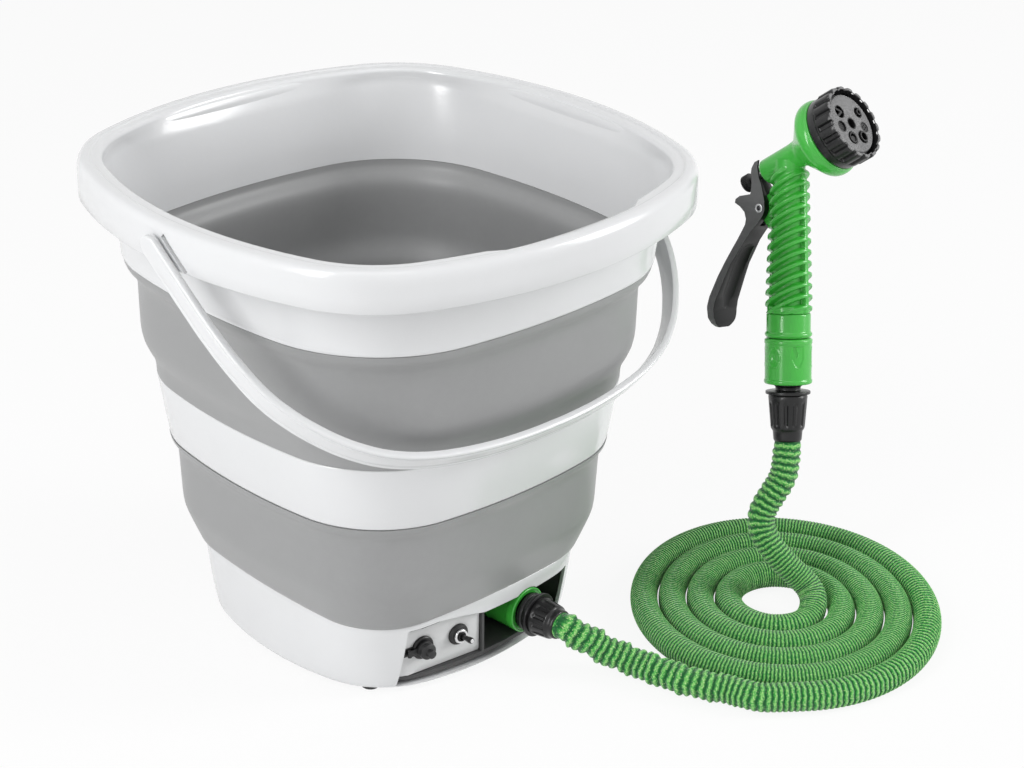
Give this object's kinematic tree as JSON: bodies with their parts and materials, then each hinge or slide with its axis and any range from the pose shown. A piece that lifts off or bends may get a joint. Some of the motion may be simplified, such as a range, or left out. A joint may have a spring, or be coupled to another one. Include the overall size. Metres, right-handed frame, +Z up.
{
  "type": "collapsible bucket with pump",
  "caption": "Square folding bucket with a bail handle, a battery pump in its base, and a coiled fabric hose with a trigger spray gun.",
  "frame": {"origin": "centre of the base's flat underside; the rubber feet reach 3 mm below it", "axes": "+Z up, -Y towards the recess with the socket, the switch and the outlet, bail pivots on -X and +X, hose coil towards +X and -Y"},
  "size_m": [0.495, 0.4941, 0.3609],
  "materials": {
    "white_plastic": "gloss",
    "grey_soft_wall": "satin",
    "panel_plastic": "satin",
    "dark_plastic": "matte",
    "black_plastic": "satin",
    "rubber": "matte",
    "green_plastic": "gloss",
    "hose_fabric": "knitted",
    "steel": "polished",
    "circuit_board": "satin",
    "cell_wrap": "gloss"
  },
  "bodies": {
    "base": {"base_shell": "white_plastic", "bottom_cover": "white_plastic", "cover_screw_1": "steel", "cover_screw_2": "steel", "cover_screw_3": "steel", "cover_screw_4": "steel", "foot_1": "rubber", "foot_2": "rubber", "foot_3": "rubber", "foot_4": "rubber", "bucket_floor": "dark_plastic", "inlet_strainer": "dark_plastic", "lower_fold_wall": "grey_soft_wall", "recess_liner": "dark_plastic", "control_panel": "panel_plastic", "charge_socket": "black_plastic", "switch_body": "dark_plastic", "switch_boot": "rubber", "switch_nut": "steel", "outlet_pipe": "dark_plastic", "outlet_body": "black_plastic", "pump_motor": "steel", "pump_seal": "rubber", "pump_housing": "dark_plastic", "battery_cradle": "dark_plastic", "battery_cell_1": "cell_wrap", "battery_cell_2": "cell_wrap", "control_board": "circuit_board"},
    "cap": {"charge_cap": "rubber"},
    "toggle": {"switch_lever": "black_plastic"},
    "rotor": {"impeller": "dark_plastic", "pump_shaft": "steel"},
    "outlet_release": {"outlet_collar": "green_plastic"},
    "middle": {"middle_band": "white_plastic", "upper_fold_wall": "grey_soft_wall"},
    "rim": {"rim_frame": "white_plastic"},
    "bail": {"bail_handle": "white_plastic", "bail_clip_left": "white_plastic", "bail_clip_right": "white_plastic"},
    "hose": {"outlet_plug": "black_plastic", "outlet_nut": "black_plastic", "hose_lead": "hose_fabric", "hose_coil": "hose_fabric", "hose_riser": "hose_fabric", "gun_plug": "black_plastic", "gun_nut": "black_plastic"},
    "gun": {"gun_core": "black_plastic", "gun_coupling": "green_plastic", "gun_body": "green_plastic", "dial_screw": "steel"},
    "gun_release": {"gun_collar": "green_plastic"},
    "dial": {"spray_dial": "black_plastic", "dial_face": "dark_plastic"},
    "trigger": {"trigger_lever": "dark_plastic", "trigger_pin": "steel"},
    "valve": {"valve_rod": "steel"},
    "knob": {"flow_knob": "dark_plastic"}
  },
  "joints": [
    {"name": "lower_collapse", "type": "slide", "parent": "base", "child": "middle", "axis": [0, 0, -1], "range_m": [0, 0.083], "deforming": ["lower_fold_wall"]},
    {"name": "upper_collapse", "type": "slide", "parent": "middle", "child": "rim", "axis": [0, 0, -1], "range_m": [0, 0.083], "deforming": ["upper_fold_wall"]},
    {"name": "bail_swing", "type": "hinge", "parent": "rim", "child": "bail", "pos_m": [0, 0, 0.315], "axis": [-1, 0, 0], "range_deg": [0, 260]},
    {"name": "switch_throw", "type": "hinge", "parent": "base", "child": "toggle", "pos_m": [-0.02773, -0.10353, 0.0283], "axis": [0.993, -0.1184, 0], "range_deg": [0, 22]},
    {"name": "cap_open", "type": "hinge", "parent": "base", "child": "cap", "pos_m": [-0.06802, -0.09852, 0.0284], "axis": [0, 0, -1], "range_deg": [0, 100]},
    {"name": "impeller_spin", "type": "hinge", "parent": "base", "child": "rotor", "pos_m": [0.004, 0.008, 0.024], "axis": [0, 0, 1], "continuous": true},
    {"name": "outlet_collar_slide", "type": "slide", "parent": "base", "child": "outlet_release", "axis": [-0.0872, 0.9962, 0], "range_m": [0, 0.004], "stiffness_N_per_m": 300, "springref_m": -0.002},
    {"name": "hose_pull", "type": "slide", "parent": "base", "child": "hose", "axis": [0.0872, -0.9962, 0], "range_m": [0, 0.03]},
    {"name": "gun_pull", "type": "slide", "parent": "hose", "child": "gun", "axis": [0.1996, 0.2448, 0.9488], "range_m": [0, 0.03]},
    {"name": "gun_collar_slide", "type": "slide", "parent": "gun", "child": "gun_release", "axis": [-0.1996, -0.2448, -0.9488], "range_m": [0, 0.003], "stiffness_N_per_m": 300, "springref_m": -0.002},
    {"name": "dial_turn", "type": "hinge", "parent": "gun", "child": "dial", "pos_m": [0.26311, -0.15999, 0.33072], "axis": [0.1624, -0.7637, 0.6249], "continuous": true},
    {"name": "trigger_squeeze", "type": "hinge", "parent": "gun", "child": "trigger", "pos_m": [0.24698, -0.11288, 0.26426], "axis": [-0.9763, -0.0327, 0.2138], "range_deg": [0, 11.5], "stiffness_Nm_per_rad": 0.5, "springref_deg": -8.59},
    {"name": "valve_stroke", "type": "slide", "parent": "gun", "child": "valve", "axis": [-0.1624, 0.7637, -0.6249], "range_m": [0, 0.0045]},
    {"name": "flow_knob_turn", "type": "hinge", "parent": "valve", "child": "knob", "pos_m": [0.24908, -0.09401, 0.27673], "axis": [0.1624, -0.7637, 0.6249], "range_deg": [0, 270]}
  ],
  "couplings": [
    {"joint": "valve_stroke", "follows": "trigger_squeeze", "m_per_rad": 0.0218}
  ]
}
